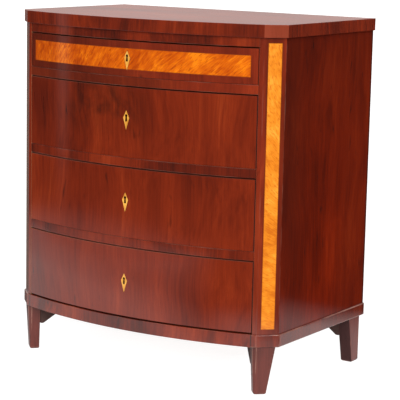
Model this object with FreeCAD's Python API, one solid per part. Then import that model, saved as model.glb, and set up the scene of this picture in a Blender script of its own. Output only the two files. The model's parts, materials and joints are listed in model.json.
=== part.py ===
import FreeCAD, Part
import math
import os

from FreeCAD import Vector

# Bow front chest of drawers. X runs from left to right seen from the front, the front faces -Y, Z is up.
# The origin is the middle of the floor under the whole chest. All lengths are in millimetres.

# Plan of the carcass
carcass_width = 748.0
carcass_depth = 498.0
bow_rise = 54.0
cant_run = 37.5
cant_depth = 35.2

# Levels, from the floor up
foot_height = 113.5
base_height = 30.0
floor_reveal = 3.0
deep_opening = 168.0
shallow_opening = 84.5
rail_height = 21.5
top_thickness = 29.0
deep_drawer_count = 3

# Top and base
top_overhang = 5.0
base_overhang = 4.0
base_width = 60.0

# Carcass boards
side_thickness = 20.0
post_depth = 24.0
stile_width = 10.5
rail_behind_post = 8.0
bottom_board_thickness = 18.0
bottom_board_recess = 16.0
back_thickness = 10.0
back_lap = 12.0
back_board_count = 5
back_board_gap = 1.0
runner_width = 47.0
guide_height = 16.0
stop_width = 36.0
stop_depth = 9.0
stop_height = 5.0
stop_place_share = 0.62

# Nails of the back boards
nail_radius = 1.3
nail_length = 30.0
nail_head_radius = 2.6
nail_head_thickness = 1.0
nail_clearance = 0.1
nails_per_end = 2

# Satinwood strips on the canted corners
strip_width = 31.5
strip_thickness = 2.5
strip_end_margin = 12.0

# Feet and the glue blocks behind them
front_foot_start = 1.5
front_foot_inset = 3.5
front_foot_lean = 4.3
front_foot_width = 45.0
front_foot_floor_width = 26.0
front_foot_depth = 30.0
front_foot_floor_depth = 23.5
front_foot_return = 11.5
front_foot_floor_return = 4.7
back_foot_inset = 2.0
back_foot_set_in = 20.0
back_foot_width = 33.0
back_foot_floor_width = 30.0
back_foot_depth = 52.0
back_foot_floor_depth = 33.0
block_height = 47.0
block_flat = 8.0
block_reach = 45.5
block_tip_height = 20.0
block_set_in = 2.4
block_width = 36.0

# Drawers
drawer_side_gap = 1.2
drawer_top_gap = 3.0
runner_gap = 0.3
front_floor_gap = 0.8
front_proud = 0.8
front_thickness = 24.0
stop_gap = 0.3
drawer_side_thickness = 11.0
drawer_side_drop = 3.0
drawer_back_thickness = 10.0
drawer_back_drop = 8.0
drawer_bottom_thickness = 7.0
drawer_bottom_raise = 8.0
drawer_groove_depth = 5.0
drawer_rear_gap = 12.0
veneer_thickness = 2.0
banding_width = 16.0

# Dovetails at the drawer corners
front_lap = 8.0
deep_tail_count = 4
shallow_tail_count = 2
tail_width_share = 0.52
tail_flare_share = 0.09
pin_width_share = 0.40
pin_flare_share = 0.08

# Escutcheons and keyholes
escutcheon_height = 45.5
escutcheon_width = 17.3
escutcheon_thickness = 3.0
escutcheon_proud = 0.2
escutcheon_widest_share = 0.38
escutcheon_1_lift = -3.5
escutcheon_2_lift = 5.4
escutcheon_3_lift = 2.0
escutcheon_4_lift = -2.2
keyhole_share = 0.27
keyhole_radius = 2.8
keyhole_slot_width = 2.6
keyhole_foot_width = 4.8
keyhole_slot_drop = 13.0

# Locks
lock_width = 64.0
lock_thickness = 12.0
lock_below_key = 16.0
bolt_width = 30.0
bolt_thickness = 6.0
bolt_length = 32.0
bolt_throw = 8.0
bolt_sink = 0.3
bolt_gap = 0.3
mortise_gap = 0.8
mortise_headroom = 1.5

# How far a cutting shape runs past the face that it opens
overrun = 2.0

# Places worked out from the sizes above
half_width = carcass_width / 2
total_depth = carcass_depth + top_overhang
front_y = top_overhang - total_depth / 2
back_y = total_depth / 2
bow_half = half_width - cant_run
bow_radius = (bow_half ** 2 + bow_rise ** 2) / (2 * bow_rise)
bow_centre_y = front_y + bow_radius
cant_length = math.hypot(cant_run, cant_depth)
cant_along = Vector(cant_run / cant_length, cant_depth / cant_length, 0)
cant_out = Vector(cant_depth / cant_length, -cant_run / cant_length, 0)
corner_y = front_y + bow_rise
post_back_y = corner_y + cant_depth + post_depth
opening_half = bow_half - stile_width
side_inner = half_width - side_thickness
rail_back_y = post_back_y + rail_behind_post
inside_back_y = back_y - back_thickness
base_top = foot_height + base_height
base_side = half_width + base_overhang
floor_z = base_top + floor_reveal
front_half = opening_half - drawer_side_gap
front_face_y = front_y - front_proud
front_inset = front_thickness - front_proud
drawer_rear_y = inside_back_y - drawer_rear_gap
drawer_inner = front_half - drawer_side_thickness
escutcheon_lifts = (escutcheon_1_lift, escutcheon_2_lift, escutcheon_3_lift, escutcheon_4_lift)


def opening_levels():
    """Bottom and top of each drawer opening, from the top drawer down, and the underside of the top board."""
    levels = []
    z = floor_z
    for count in range(deep_drawer_count):
        levels.insert(0, (z, z + deep_opening))
        z += deep_opening + rail_height
    levels.insert(0, (z, z + shallow_opening))
    return levels, z + shallow_opening + rail_height


openings, top_under = opening_levels()


# Shapes used again and again
def box(x0, x1, y0, y1, z0, z1):
    return Part.makeBox(x1 - x0, y1 - y0, z1 - z0, Vector(x0, y0, z0))


def mirrored(shape):
    return shape.mirror(Vector(0, 0, 0), Vector(1, 0, 0))


def both_sides(shape):
    return [mirrored(shape), shape]


def bow_y(x, inset):
    """Place of the bowed face at x, moved inwards by the inset."""
    return bow_centre_y - math.sqrt((bow_radius - inset) ** 2 - x ** 2)


def bow_arc(x0, x1, inset):
    middle = (x0 + x1) / 2
    points = [Vector(x, bow_y(x, inset), 0) for x in (x0, middle, x1)]
    return Part.Arc(*points).toShape()


def line(start, end):
    return Part.makeLine(start, end)


def raised(edges, z0, z1):
    """Solid over a closed plan outline between two levels."""
    face = Part.Face(Part.Wire(Part.__sortEdges__(edges)))
    face.translate(Vector(0, 0, z0))
    return face.extrude(Vector(0, 0, z1 - z0))


def polygon_face(points):
    return Part.Face(Part.makePolygon(points + points[:1]))


def bow_band(x0, x1, outer, inner, z0, z1):
    """Strip that follows the bow between two insets."""
    outer_ends = [Vector(x, bow_y(x, outer), 0) for x in (x0, x1)]
    inner_ends = [Vector(x, bow_y(x, inner), 0) for x in (x0, x1)]
    edges = [bow_arc(x0, x1, outer), bow_arc(x0, x1, inner)]
    edges += [line(a, b) for a, b in zip(outer_ends, inner_ends)]
    return raised(edges, z0, z1)


def bow_board(half, inset, rear_points, z0, z1):
    """Board with a bowed front edge; rear_points lead round its right half from the front to the back."""
    right = [Vector(half, bow_y(half, inset), 0)] + rear_points
    left = [Vector(-p.x, p.y, 0) for p in right]
    edges = [bow_arc(-half, half, inset), line(right[-1], left[-1])]
    for path in (left, right):
        edges += [line(a, b) for a, b in zip(path, path[1:])]
    return raised(edges, z0, z1)


def cant_corners(offset):
    """Corners of the canted face with the bow and with the side, the outline moved outwards by the offset."""
    start = Vector(bow_half, corner_y, 0) + cant_out * offset
    from_centre = start - Vector(0, bow_centre_y, 0)
    along = from_centre.dot(cant_along)
    beyond = from_centre.dot(from_centre) - (bow_radius + offset) ** 2
    front = start - cant_along * (along + math.sqrt(along ** 2 - beyond))
    side = start + cant_along * ((half_width + offset - start.x) / cant_along.x)
    return front, side


def frustum(lower, upper):
    """Solid between two outlines with matching parallel edges."""
    faces = [polygon_face(lower), polygon_face(upper)]
    for here in range(len(lower)):
        after = (here + 1) % len(lower)
        faces.append(polygon_face([lower[here], lower[after], upper[after], upper[here]]))
    return Part.Solid(Part.Shell(faces))


def slant_prism(y_base, y_end, half_base, half_end, x0, x1, z):
    """Dovetail shape seen from the side of a drawer, through a thickness along X."""
    points = [
        Vector(x0, y_base, z - half_base),
        Vector(x0, y_base, z + half_base),
        Vector(x0, y_end, z + half_end),
        Vector(x0, y_end, z - half_end),
    ]
    return polygon_face(points).extrude(Vector(x1 - x0, 0, 0))


def cut_by(shape, cutters):
    """The shape after each cutter in turn."""
    for cutter in cutters:
        shape = shape.cut(cutter)
    return shape


def save(node, shapes):
    shape = shapes[0] if len(shapes) == 1 else Part.makeCompound(shapes)
    shape.exportStep("parts/" + node + ".step")
    print(node, len(shape.Solids), "solid", round(shape.Volume))


# Top board and corner posts
def top_board():
    front, side = cant_corners(top_overhang)
    rear = Vector(half_width + top_overhang, back_y, 0)
    return bow_board(front.x, -top_overhang, [side, rear], top_under, top_under + top_thickness)


def corner_strip():
    start = cant_corners(0)[0] + cant_along * ((cant_length - strip_width) / 2)
    end = start + cant_along * strip_width
    inwards = cant_out * -strip_thickness
    points = [start, end, end + inwards, start + inwards]
    points = [p + Vector(0, 0, base_top + strip_end_margin) for p in points]
    length = top_under - base_top - 2 * strip_end_margin
    return polygon_face(points).extrude(Vector(0, 0, length))


def corner_plan(offset):
    """Plan outline of the right-hand corner, from the drawer opening round the cant to the side."""
    front, side = cant_corners(offset)
    points = [front, side, Vector(side.x, post_back_y, 0), Vector(opening_half, post_back_y, 0)]
    points.append(Vector(opening_half, bow_y(opening_half, -offset), 0))
    edges = [line(a, b) for a, b in zip(points, points[1:])]
    return edges + [bow_arc(opening_half, front.x, -offset)]


def corner_post():
    return raised(corner_plan(0), base_top, top_under).cut(corner_strip())


# Base frame, bottom board and feet
def bottom_board():
    rear = [
        Vector(opening_half, post_back_y, 0),
        Vector(side_inner, post_back_y, 0),
        Vector(side_inner, inside_back_y, 0),
    ]
    return bow_board(opening_half, bottom_board_recess, rear, floor_z - bottom_board_thickness, floor_z)


def base_front():
    inner = base_width - base_overhang
    return bow_band(-opening_half, opening_half, -base_overhang, inner, foot_height, base_top)


def base_corner():
    return raised(corner_plan(base_overhang), foot_height, base_top)


def base_side_length():
    return box(opening_half, base_side, post_back_y, back_y, foot_height, base_top)


def base_back():
    return box(-opening_half, opening_half, back_y - base_width, back_y, foot_height, base_top)


def front_foot_corner(inset):
    """Where the cant face of a front foot meets the return that faces the front."""
    corner = cant_corners(base_overhang)[0]
    return corner + cant_along * front_foot_start - cant_out * inset


def front_foot():
    def outline(inset, width, depth, return_width, z):
        """Along the cant, round the back, and along the return."""
        corner = front_foot_corner(inset)
        far = corner + cant_along * width
        inner = corner - Vector(return_width, 0, 0)
        inner_rear = inner - cant_out * (depth - return_width * cant_out.x)
        points = [corner, far, far - cant_out * depth, inner_rear, inner]
        return [p + Vector(0, 0, z) for p in points]

    floor_sizes = (front_foot_floor_width, front_foot_floor_depth, front_foot_floor_return)
    lower = outline(front_foot_inset + front_foot_lean, *floor_sizes, 0)
    upper = outline(front_foot_inset, front_foot_width, front_foot_depth, front_foot_return, foot_height)
    return frustum(lower, upper)


def back_foot():
    x = base_side - back_foot_inset
    y = back_y - back_foot_set_in

    def outline(width, depth, z):
        return [Vector(a, b, z) for a, b in ((x, y), (x - width, y), (x - width, y - depth), (x, y - depth))]

    lower = outline(back_foot_floor_width, back_foot_floor_depth, 0)
    upper = outline(back_foot_width, back_foot_depth, foot_height)
    return frustum(lower, upper)


def foot_block(corner, reach_way, width_way):
    """Glue block with a slanted end, hanging from the base frame beside a foot."""
    profile = [(0, 0), (0, block_height), (block_flat, block_height), (block_reach, block_tip_height)]
    profile.append((block_reach, 0))
    points = [corner + reach_way * reach - Vector(0, 0, drop) for reach, drop in profile]
    return polygon_face(points).extrude(width_way * block_width)


def foot_blocks():
    front_start = front_foot_return * cant_along.x - block_set_in
    front_corner = front_foot_corner(front_foot_inset + front_foot_depth) - cant_along * front_start
    front_corner.z = foot_height
    back_start = (back_foot_depth - block_width) / 2
    back_x = base_side - back_foot_inset - back_foot_width
    back_corner = Vector(back_x, back_y - back_foot_set_in - back_foot_depth + back_start, foot_height)
    front = foot_block(front_corner, -cant_out, cant_along)
    back = foot_block(back_corner, Vector(-1, 0, 0), Vector(0, 1, 0))
    return both_sides(front) + both_sides(back)


# Sides, back and what carries the drawers
def back_boards():
    half = side_inner + back_lap
    spare = (back_board_count - 1) * back_board_gap
    height = (top_under - base_top - spare) / back_board_count
    boards = []
    for place in range(back_board_count):
        z = base_top + place * (height + back_board_gap)
        boards.append(box(-half, half, inside_back_y, back_y, z, z + height))
    return boards


def nail(x, z, clearance):
    inwards = Vector(0, -1, 0)
    shank = Part.makeCylinder(nail_radius + clearance, nail_length + clearance, Vector(x, back_y, z), inwards)
    head = Part.makeCylinder(nail_head_radius + clearance, nail_head_thickness, Vector(x, back_y, z), inwards)
    return shank.fuse(head).removeSplitter()


def nail_shapes(boards, clearance):
    x = side_inner + back_lap / 2
    nails = []
    for board in boards:
        bounds = board.BoundBox
        pitch = bounds.ZLength / nails_per_end
        for place in range(nails_per_end):
            z = bounds.ZMin + pitch * place + pitch / 2
            nails += both_sides(nail(x, z, clearance))
    return nails


def side_panel():
    board = box(side_inner, half_width, post_back_y, back_y, base_top, top_under)
    rebate_x = side_inner + back_lap
    rebate = box(side_inner - overrun, rebate_x, inside_back_y, back_y + overrun, base_top, top_under)
    return board.cut(rebate)


def rail(z, drawer_below):
    """Front rail above a drawer, with a mortise for that drawer's bolt."""
    rear = [Vector(opening_half, rail_back_y, 0)]
    board = bow_board(opening_half, 0, rear, z, z + rail_height)
    return board.cut(bolt_mortise(drawer_below, z))


def runner_strips():
    """Runners behind the rails, and kickers of the same stock under the top board."""
    strips = []
    for bottom, top in openings:
        strip = box(side_inner - runner_width, side_inner, rail_back_y, inside_back_y, top, top + rail_height)
        strips += both_sides(strip)
    return strips


def guide_strips():
    strips = []
    for bottom, top in openings:
        strip = box(opening_half, side_inner, rail_back_y, inside_back_y, bottom, bottom + guide_height)
        strips += both_sides(strip)
    return strips


def drawer_stops():
    x = opening_half * stop_place_share
    y = bow_y(x + stop_width / 2, front_inset) + stop_gap
    stops = []
    for bottom, top in openings:
        stop = box(x - stop_width / 2, x + stop_width / 2, y, y + stop_depth, bottom, bottom + stop_height)
        stops += both_sides(stop)
    return stops


# Escutcheons, keyholes and locks
def front_levels(opening):
    bottom, top = opening
    return bottom + front_floor_gap, top - drawer_top_gap


def is_shallow(opening):
    return opening == openings[0]


def escutcheon_top(opening):
    low, high = front_levels(opening)
    return (low + high + escutcheon_height) / 2 + escutcheon_lifts[openings.index(opening)]


def escutcheon_blank(opening):
    top = escutcheon_top(opening)
    widest = top - escutcheon_height * escutcheon_widest_share
    y = front_face_y - escutcheon_proud
    half = escutcheon_width / 2
    outline = [(0, top), (half, widest), (0, top - escutcheon_height), (-half, widest)]
    face = polygon_face([Vector(x, y, z) for x, z in outline])
    return face.extrude(Vector(0, escutcheon_thickness + escutcheon_proud, 0))


def key_z(opening):
    return escutcheon_top(opening) - escutcheon_height * keyhole_share


def keyhole(opening):
    """Round hole with a flared slot below it, from the front of the drawer into the lock."""
    z = key_z(opening)
    y0 = front_face_y - escutcheon_proud - overrun
    y1 = front_y + front_inset - lock_thickness / 2
    through = Vector(0, y1 - y0, 0)
    hole = Part.makeCylinder(keyhole_radius, through.y, Vector(0, y0, z), through)
    half = keyhole_slot_width / 2
    foot_half = keyhole_foot_width / 2
    foot_z = z - keyhole_slot_drop
    corners = [(-half, z), (half, z), (foot_half, foot_z), (-foot_half, foot_z)]
    slot = polygon_face([Vector(x, y0, level) for x, level in corners]).extrude(through)
    return hole.fuse(slot).removeSplitter()


def lock_places(opening):
    back = front_y + front_inset
    return back - lock_thickness, back, key_z(opening) - lock_below_key, front_levels(opening)[1]


def lock_blank(opening):
    return box(-lock_width / 2, lock_width / 2, *lock_places(opening))


def lock_recess(opening):
    """Cut for the lock, open to the back and the top of the drawer front."""
    front, back, bottom, top = lock_places(opening)
    return box(-lock_width / 2, lock_width / 2, front, back + overrun, bottom, top + overrun)


def bolt_space(opening, gap, z0, z1):
    """Room round the bolt, with a gap on its four upright faces."""
    front, back, bottom, top = lock_places(opening)
    middle = (front + back) / 2
    half_across = bolt_width / 2 + gap
    half_through = bolt_thickness / 2 + gap
    return box(-half_across, half_across, middle - half_through, middle + half_through, z0, z1)


def bolt(opening):
    top = front_levels(opening)[1] - bolt_sink
    return bolt_space(opening, 0, top - bolt_length, top)


def lock_case(opening):
    top = front_levels(opening)[1]
    hollow = bolt_space(opening, bolt_gap, top - bolt_sink - bolt_length - bolt_gap, top + overrun)
    return cut_by(lock_blank(opening), [hollow, keyhole(opening)])


def bolt_mortise(opening, z):
    depth = bolt_throw - bolt_sink - drawer_top_gap + mortise_headroom
    return bolt_space(opening, mortise_gap, z - overrun, z + depth)


# Drawer boxes
def side_levels(opening):
    return opening[0] + runner_gap, front_levels(opening)[1] - drawer_side_drop


def bottom_levels(opening):
    low = side_levels(opening)[0] + drawer_bottom_raise
    return low, low + drawer_bottom_thickness


def drawer_bottom(opening):
    half = drawer_inner + drawer_groove_depth
    rear = [Vector(half, drawer_rear_y, 0)]
    return bow_board(half, front_inset - drawer_groove_depth, rear, *bottom_levels(opening))


def tail_count(opening):
    return shallow_tail_count if is_shallow(opening) else deep_tail_count


def back_levels(opening):
    return bottom_levels(opening)[1], side_levels(opening)[1] - drawer_back_drop


def back_pins(opening):
    low, high = back_levels(opening)
    pitch = (high - low) / tail_count(opening)
    half_wide = pitch * pin_width_share / 2
    half_narrow = half_wide - pitch * pin_flare_share
    base = drawer_rear_y - drawer_back_thickness
    pins = []
    for place in range(tail_count(opening)):
        z = low + pitch * place + pitch / 2
        pins.append(slant_prism(base, drawer_rear_y, half_wide, half_narrow, drawer_inner, front_half, z))
    return pins


def drawer_side(opening):
    """Right-hand side: tails lapped into the front, sockets for the back's pins, a groove for the bottom."""
    low, high = side_levels(opening)
    shoulder = bow_y(drawer_inner, front_inset)
    tail_end = bow_y(front_half, -front_proud) + front_lap
    board = box(drawer_inner, front_half, shoulder, drawer_rear_y, low, high)
    pitch = (high - low) / tail_count(opening)
    half_narrow = pitch * tail_width_share / 2
    half_wide = half_narrow + pitch * tail_flare_share
    for place in range(tail_count(opening)):
        z = low + pitch * place + pitch / 2
        tail = slant_prism(shoulder, tail_end, half_narrow, half_wide, drawer_inner, front_half, z)
        board = board.fuse(tail)
    return cut_by(board.removeSplitter(), [drawer_bottom(opening)] + back_pins(opening))


def drawer_back(opening):
    low, high = back_levels(opening)
    board = box(-drawer_inner, drawer_inner, drawer_rear_y - drawer_back_thickness, drawer_rear_y, low, high)
    for pin in back_pins(opening):
        board = board.fuse(both_sides(pin))
    return board.removeSplitter()


def front_cuts(opening):
    """Everything that is let into or runs through a drawer front."""
    cuts = both_sides(drawer_side(opening))
    cuts += [drawer_bottom(opening), lock_recess(opening), escutcheon_blank(opening), keyhole(opening)]
    return cuts


def drawer_front(opening):
    outer = veneer_thickness - front_proud if is_shallow(opening) else -front_proud
    blank = bow_band(-front_half, front_half, outer, front_inset, *front_levels(opening))
    return cut_by(blank, front_cuts(opening))


def escutcheon(opening):
    return escutcheon_blank(opening).cut(keyhole(opening))


def veneer_piece(x0, x1, z0, z1):
    piece = bow_band(x0, x1, -front_proud, veneer_thickness - front_proud, z0, z1)
    return cut_by(piece, [escutcheon_blank(openings[0]), keyhole(openings[0])])


def satinwood_panel():
    low, high = front_levels(openings[0])
    half = front_half - banding_width
    return veneer_piece(-half, half, low + banding_width, high - banding_width)


def crossbanding():
    low, high = front_levels(openings[0])
    half = front_half - banding_width
    lower = veneer_piece(-front_half, front_half, low, low + banding_width)
    upper = veneer_piece(-front_half, front_half, high - banding_width, high)
    end = veneer_piece(half, front_half, low + banding_width, high - banding_width)
    return [lower, upper] + both_sides(end)


# The nodes
def save_carcass():
    boards = back_boards()
    nails = nail_shapes(boards, 0)
    nail_holes = nail_shapes(boards, nail_clearance)
    bottom = bottom_board()
    save("top_board", [top_board()])
    for name, shape in zip(("left", "right"), both_sides(side_panel())):
        save("side_" + name, [cut_by(shape, nail_holes)])
    for name, shape in zip(("left", "right"), both_sides(corner_post())):
        save("post_" + name, [shape])
    save("corner_strips", both_sides(corner_strip()))
    save("bottom_board", [bottom])
    save("back_boards", [cut_by(board, nail_holes) for board in boards])
    save("back_nails", nails)
    save("drawer_runners", runner_strips())
    save("drawer_guides", guide_strips())
    save("drawer_stops", drawer_stops())
    for name, opening in zip(("rail_top", "rail_1", "rail_2", "rail_3"), openings):
        save(name, [rail(opening[1], opening)])
    save("base_front", [base_front().cut(bottom)])
    save("base_sides", [shape.cut(bottom) for shape in both_sides(base_side_length())])
    save("base_corners", [shape.cut(bottom) for shape in both_sides(base_corner())])
    save("base_back", [base_back().cut(bottom)])
    for end, foot in (("front", front_foot()), ("back", back_foot())):
        for name, shape in zip(("left", "right"), both_sides(foot)):
            save("foot_" + end + "_" + name, [shape])
    save("foot_blocks", foot_blocks())


def save_drawer(number, opening):
    name = "drawer_" + str(number)
    save(name + "_front", [drawer_front(opening)])
    for hand, shape in zip(("left", "right"), both_sides(drawer_side(opening))):
        save(name + "_side_" + hand, [shape])
    save(name + "_back", [drawer_back(opening)])
    save(name + "_bottom", [drawer_bottom(opening)])
    save(name + "_escutcheon", [escutcheon(opening)])
    save(name + "_lock", [lock_case(opening)])
    save(name + "_bolt", [bolt(opening)])


os.makedirs("parts", exist_ok=True)
save_carcass()
for number, opening in enumerate(openings, start=1):
    save_drawer(number, opening)
save("drawer_1_panel", [satinwood_panel()])
save("drawer_1_banding", crossbanding())
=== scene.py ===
# %% [markdown]
# # A bow front chest of drawers
# This chest is polished mahogany with a bowed front, canted corners inlaid with satinwood, and bone
# escutcheons. The solids of all its boards already exist, so the lesson doesn't model them again. It
# rounds their edges the way wear and polish do, and then gives each surface the finish of the real one.

import functools
import json
import math

import bmesh
import bpy
from mathutils import Matrix, Vector
from mathutils.bvhtree import BVHTree


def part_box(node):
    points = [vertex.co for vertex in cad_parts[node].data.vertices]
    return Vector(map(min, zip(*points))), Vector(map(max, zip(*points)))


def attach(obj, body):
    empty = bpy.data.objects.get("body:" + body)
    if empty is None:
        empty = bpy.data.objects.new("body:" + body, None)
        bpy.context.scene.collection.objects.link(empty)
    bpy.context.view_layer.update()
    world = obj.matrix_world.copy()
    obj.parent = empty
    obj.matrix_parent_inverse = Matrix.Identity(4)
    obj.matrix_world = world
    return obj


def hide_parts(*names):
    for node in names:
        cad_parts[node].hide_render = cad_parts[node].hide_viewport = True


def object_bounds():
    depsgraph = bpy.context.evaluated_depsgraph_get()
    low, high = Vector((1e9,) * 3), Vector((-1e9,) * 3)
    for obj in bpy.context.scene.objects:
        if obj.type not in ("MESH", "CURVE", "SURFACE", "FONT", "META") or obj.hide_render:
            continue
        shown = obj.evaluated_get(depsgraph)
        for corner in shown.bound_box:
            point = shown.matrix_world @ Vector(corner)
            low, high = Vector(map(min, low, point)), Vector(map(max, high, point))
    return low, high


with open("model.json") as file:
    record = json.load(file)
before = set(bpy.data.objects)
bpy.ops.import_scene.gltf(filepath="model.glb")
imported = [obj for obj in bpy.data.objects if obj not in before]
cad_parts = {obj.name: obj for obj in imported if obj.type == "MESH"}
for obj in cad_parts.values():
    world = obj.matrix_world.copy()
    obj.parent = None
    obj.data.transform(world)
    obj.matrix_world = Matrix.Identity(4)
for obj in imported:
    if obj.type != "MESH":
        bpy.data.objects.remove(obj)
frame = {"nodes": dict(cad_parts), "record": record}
cad_low, cad_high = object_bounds()
solids = frame["nodes"]
scene = bpy.context.scene
print("solids:", len(solids), "box in metres:", [round(v, 4) for v in (*cad_low, *cad_high)])

# %% [markdown]
# ## Camera
# The photograph looks down a little on the right front corner, from far away with a long lens. A camera
# can be aimed with a constraint, but the small roll of the real one would be lost. Three turns in a row
# keep it: up from the floor by the tilt, round the upright by the turn, and last round the line of sight.

# %% Camera
picture_pixels = 400
focal_pixels = 1628.0
camera_place = Vector((2.2239, -3.2798, 1.0693))
camera_turn, camera_tilt, camera_roll = (math.radians(a) for a in (33.582, -9.667, 1.227))

lens = bpy.data.cameras.new("corner_view")
lens.lens = focal_pixels / picture_pixels * lens.sensor_width
camera = bpy.data.objects.new("corner_view", lens)
scene.collection.objects.link(camera)
camera.matrix_world = (
    Matrix.Translation(camera_place)
    @ Matrix.Rotation(camera_turn, 4, "Z")
    @ Matrix.Rotation(math.pi / 2 + camera_tilt, 4, "X")
    @ Matrix.Rotation(camera_roll, 4, "Z")
)
scene.camera = camera
print("focal length in mm:", round(lens.lens, 1))

# %% [markdown]
# ## Helpers for finishes
# Every finish below is a node tree, and most are built from the same few nodes. A helper that adds one
# node and fills its sockets keeps each recipe short enough to read as a recipe. A value that comes from
# another node is linked, and any other value is set on the socket.

# %% Helpers that add a node
mix_factor, mix_first, mix_second, mix_result = 0, 6, 7, 2  # the colour sockets among those of a Mix node


def new_finish(name):
    """A new material, its node tree and its surface shader."""
    material = bpy.data.materials.new(name)
    material.use_nodes = True
    return material, material.node_tree, material.node_tree.nodes["Principled BSDF"]


def fill(tree, socket, value):
    """Link a value that another node gives, or set a plain one."""
    if isinstance(value, bpy.types.NodeSocket):
        tree.links.new(value, socket)
    else:
        socket.default_value = value


def fill_all(tree, node, values):
    """Fill several sockets of a node, by name or by number."""
    for socket, value in dict(values).items():
        fill(tree, node.inputs[socket], value)


def add(tree, kind, inputs=(), **settings):
    """Add one node, with its own settings and its input sockets filled."""
    node = tree.nodes.new("ShaderNode" + kind)
    for setting, value in settings.items():
        setattr(node, setting, value)
    fill_all(tree, node, inputs)
    return node


def mix(tree, share, first, second):
    """Blend two colours; a share of 0 gives the first."""
    node = add(tree, "Mix", {mix_factor: share}, data_type="RGBA")
    for socket, colour in ((mix_first, first), (mix_second, second)):
        linked = isinstance(colour, bpy.types.NodeSocket)
        fill(tree, node.inputs[socket], colour if linked else (*colour, 1.0))
    return node.outputs[mix_result]


def ramp(tree, value, positions, colours):
    """Turn a value into a colour along a row of positions."""
    node = add(tree, "ValToRGB", {"Fac": value})
    elements = node.color_ramp.elements
    while len(elements) < len(colours):
        elements.new(1.0)
    for element, position, colour in zip(elements, positions, colours):
        element.position = position
        element.color = (*colour, 1.0)
    return node.outputs["Color"]


def span(tree, value, low, high, to_low=0.0, to_high=1.0):
    """Map a range of a value to another range, without going past its ends."""
    inputs = {"Value": value, "From Min": low, "From Max": high, "To Min": to_low, "To Max": to_high}
    return add(tree, "MapRange", inputs).outputs["Result"]


def fade(tree, value, none_at, full_at, share=1.0):
    """0 where the value is none_at, and growing to the share where it is full_at."""
    if none_at < full_at:
        return span(tree, value, none_at, full_at, 0.0, share)
    return span(tree, value, full_at, none_at, share, 0.0)


def bumps(tree, height, strength, depth):
    """A surface direction that follows a fine relief."""
    inputs = {"Height": height, "Strength": strength, "Distance": depth}
    return add(tree, "Bump", inputs).outputs["Normal"]


print("node helpers ready")

# %% [markdown]
# Patterns are sums and products of numbers, so arithmetic gets short names too. Each works on plain
# numbers and on the outputs of other nodes alike.

# %% Helpers for arithmetic
def calc(tree, operation, *values):
    """One step of arithmetic."""
    return add(tree, "Math", enumerate(values), operation=operation).outputs["Value"]


def product(tree, *values):
    """All the values multiplied."""
    return functools.reduce(functools.partial(calc, tree, "MULTIPLY"), values)


def largest(tree, *values):
    """The largest of the values."""
    return functools.reduce(functools.partial(calc, tree, "MAXIMUM"), values)


def weighed(tree, first, *others):
    """The sum of several values, each given with its weight."""
    total = calc(tree, "MULTIPLY", *first)
    for value, weight in others:
        total = calc(tree, "MULTIPLY_ADD", value, weight, total)
    return total


def moved(tree, vector, by):
    """A vector with another one added."""
    return add(tree, "VectorMath", {0: vector, 1: by}, operation="ADD").outputs["Vector"]


def scaled(tree, vector, factor):
    """A vector made longer or shorter."""
    return add(tree, "VectorMath", {0: vector, "Scale": factor}, operation="SCALE").outputs["Vector"]


def towards(tree, direction, way):
    """How much a direction points a given way, from 1 to -1."""
    return add(tree, "VectorMath", {0: direction, 1: way}, operation="DOT_PRODUCT").outputs["Value"]


def parts_of(tree, vector):
    """The X, Y and Z of a vector."""
    return add(tree, "SeparateXYZ", {"Vector": vector}).outputs


def vector_of(tree, x, y, z):
    """A vector of three numbers."""
    return add(tree, "CombineXYZ", {"X": x, "Y": y, "Z": z}).outputs["Vector"]


print("arithmetic ready")

# %% [markdown]
# A pattern needs to know where it is. Object coordinates tell that in metres, because all boards keep the
# chest's own origin. Marks, which are numbers that the mesh carries, tell the board and what is worn.

# %% Helpers for places and streaks
def object_place(tree):
    """Where a point of the surface is, in metres."""
    return add(tree, "TexCoord").outputs["Object"]


def mesh_mark(tree, name):
    """A number that the mesh carries."""
    return add(tree, "Attribute", attribute_name=name).outputs["Fac"]


def streaks(tree, place, per_metre, detail=4.0, roughness=0.55):
    """Noise with so many streaks per metre along X, Y and Z; few along an axis makes long streaks."""
    stretched = add(tree, "Mapping", {"Vector": place, "Scale": per_metre}).outputs["Vector"]
    inputs = {"Vector": stretched, "Scale": 1.0, "Detail": detail, "Roughness": roughness}
    return add(tree, "TexNoise", inputs).outputs["Fac"]


def even(number):
    """The same number for all three axes."""
    return (number, number, number)


def along_grain(axis, across, lengthwise):
    """Counts for a grain that runs along one axis."""
    return tuple(lengthwise if name == axis else across for name in "XYZ")


print("streaks ready")

# %% [markdown]
# ## Studio
# The photograph has a white ground with no horizon and hardly a shadow. Sheets of white paper lie in
# front of the chest and beside it, dimmer further out, and the polish mirrors them in the lower drawers.
# Beyond them the studio is dim, so the upper drawers stay deep red. The wide floor is white too, but
# mirrors don't see it.

# %% Paper and floor
disc_corners = 64
on_the_cut = 0.0001
paper_greys = (0.25, 0.25, 0.25), (0.29, 0.29, 0.29)

paper_white, tree, shader = new_finish("paper_white")
fibres = streaks(tree, object_place(tree), even(6.0))
fill_all(tree, shader, {
    "Base Color": ramp(tree, fibres, (0.3, 0.7), paper_greys), "Alpha": mesh_mark(tree, "shown"),
    "Roughness": 1.0, "Specular IOR Level": 0.0,
    "Emission Color": (1.0, 1.0, 1.0, 1.0), "Emission Strength": 0.9})


def straight_sheet(low, high, height):
    """A rectangle between two corners."""
    bm = bmesh.new()
    bmesh.ops.create_grid(bm, x_segments=1, y_segments=1, size=0.5)
    bmesh.ops.scale(bm, vec=(high[0] - low[0], high[1] - low[1], 1.0), verts=bm.verts)
    middle = ((low[0] + high[0]) / 2, (low[1] + high[1]) / 2, height)
    bmesh.ops.translate(bm, vec=middle, verts=bm.verts)
    return bm


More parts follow.
